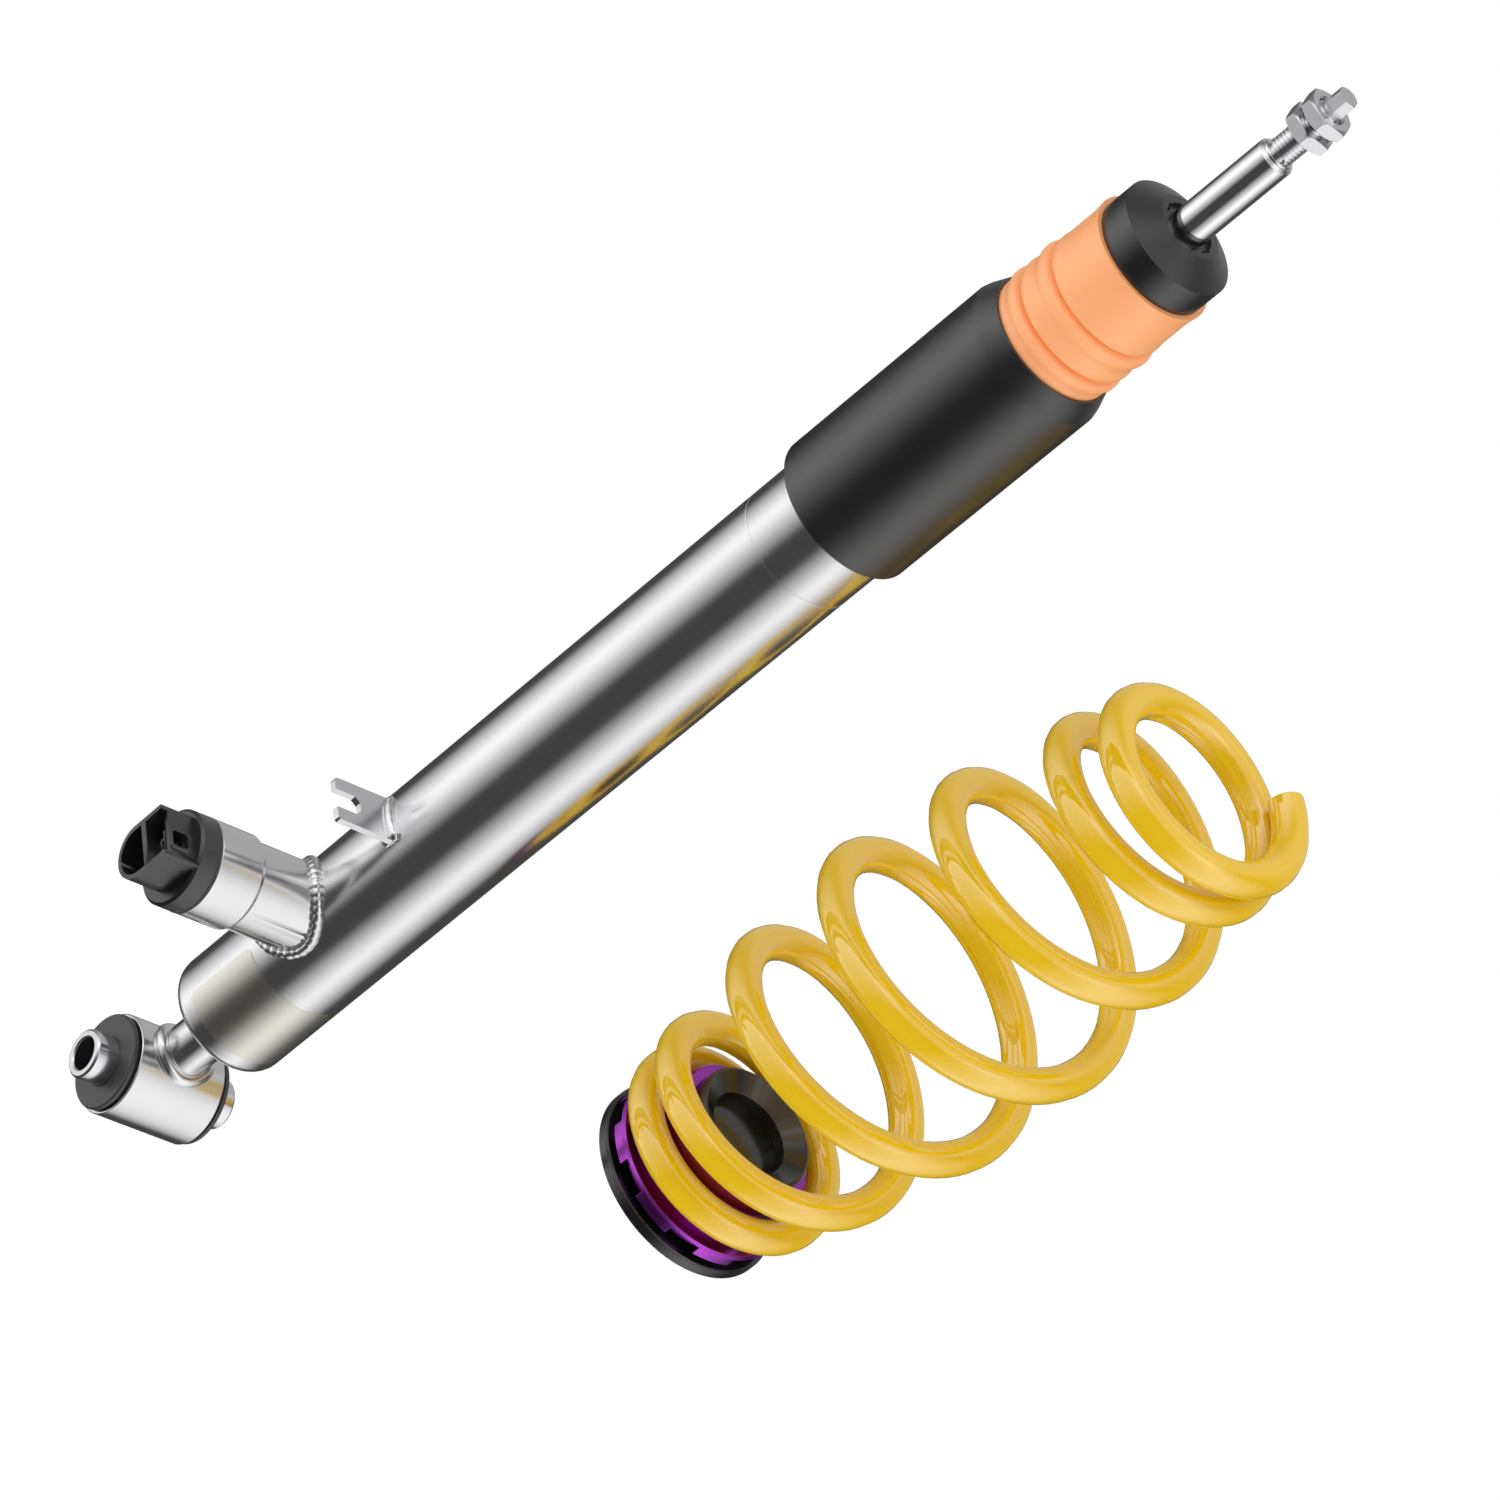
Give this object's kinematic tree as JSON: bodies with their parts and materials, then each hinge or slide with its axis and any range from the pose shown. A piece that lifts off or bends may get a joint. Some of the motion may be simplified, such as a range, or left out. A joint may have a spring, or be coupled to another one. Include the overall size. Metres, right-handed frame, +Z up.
{
  "type": "rear coilover set",
  "caption": "Rear coilover set: a slim twin-tube damper with side control valve, bump stop and lower bush, beside a barrel spring on a screw height adjuster.",
  "frame": {"origin": "centre of the lower bush bore", "axes": "+Z up along the damper's axis towards the rod's stud, Y along the bush bolt with the side valve on -Y, the spring's axis parallel to Z at +X +Y"},
  "size_m": [0.1443, 0.2955, 0.6348],
  "materials": {
    "stainless": "polished",
    "weld_bead": "rippled",
    "rod_chrome": "mirror",
    "zinc_plate": "bright zinc",
    "black_rubber": "matt",
    "moulded_black": "satin moulded",
    "dust_tube_black": "satin",
    "peach_foam": "smooth cellular polyurethane",
    "spring_yellow": "gloss powder coat",
    "violet_anodised": "anodised",
    "black_anodised": "gloss black",
    "plain_steel": "machined",
    "strike_cap_steel": "phosphated",
    "bearing_bronze": "sintered",
    "copper_winding": "enamelled wire",
    "slide_polymer": "filled polymer",
    "label_film": "satin film"
  },
  "bodies": {
    "arm_side": {"bush_sleeve": "zinc_plate", "adjuster_core": "black_anodised"},
    "barrel": {"barrel_tube": "stainless", "lower_eye": "stainless", "eye_weld": "weld_bead", "bush_rubber": "black_rubber", "inner_tube": "plain_steel", "intermediate_tube": "plain_steel", "base_valve": "plain_steel", "rod_guide": "plain_steel", "guide_bushing": "bearing_bronze", "rod_seal": "black_rubber", "strike_cap": "strike_cap_steel", "cable_bracket": "zinc_plate", "bracket_weld": "weld_bead", "valve_branch": "stainless", "branch_weld": "weld_bead", "valve_housing": "stainless", "valve_body": "plain_steel", "solenoid_coil": "copper_winding", "valve_seal": "black_rubber", "valve_cap": "moulded_black", "terminal_pins": "bearing_bronze", "type_label": "label_film", "plunger_spring": "plain_steel"},
    "valve_slider": {"valve_plunger": "plain_steel"},
    "rod": {"piston_rod": "rod_chrome", "piston": "plain_steel", "piston_band": "slide_polymer", "valve_shims": "plain_steel", "piston_nut": "plain_steel", "rebound_stop": "slide_polymer", "rod_nuts": "zinc_plate"},
    "bump_set": {"bump_stop": "peach_foam", "bump_cap": "moulded_black", "dust_tube": "dust_tube_black"},
    "spring_base": {"coil_spring": "spring_yellow"},
    "collar": {"adjuster_collar": "violet_anodised"},
    "spring_top": {"spring_top_coil": "spring_yellow"}
  },
  "joints": [
    {"name": "eye_twist", "type": "hinge", "parent": "arm_side", "child": "barrel", "pos_m": [0, 0, 0], "axis": [0, 1, 0], "range_deg": [-12, 12], "stiffness_Nm_per_rad": 80},
    {"name": "valve_shift", "type": "slide", "parent": "barrel", "child": "valve_slider", "axis": [0, 1, 0], "range_m": [0, 0.0015], "stiffness_N_per_m": 400, "springref_m": -0.002, "deforming": ["plunger_spring"]},
    {"name": "rod_stroke", "type": "slide", "parent": "barrel", "child": "rod", "axis": [0, 0, 1], "range_m": [-0.07, 0], "stiffness_N_per_m": 150, "springref_m": 0.4},
    {"name": "bump_slide", "type": "slide", "parent": "rod", "child": "bump_set", "axis": [0, 0, 1], "range_m": [0, 0.0405]},
    {"name": "perch_height", "type": "slide", "parent": "arm_side", "child": "spring_base", "axis": [0, 0, 1], "range_m": [-0.002, 0.018]},
    {"name": "collar_turn", "type": "hinge", "parent": "spring_base", "child": "collar", "pos_m": [0.057, 0.148, 0.12], "axis": [0, 0, 1], "range_deg": [-365, 3245]},
    {"name": "spring_compression", "type": "slide", "parent": "spring_base", "child": "spring_top", "axis": [0, 0, 1], "range_m": [-0.1, 0], "stiffness_N_per_m": 50000, "deforming": ["coil_spring"]}
  ],
  "couplings": [
    {"joint": "collar_turn", "follows": "perch_height", "rad_per_m": 3141.6}
  ]
}
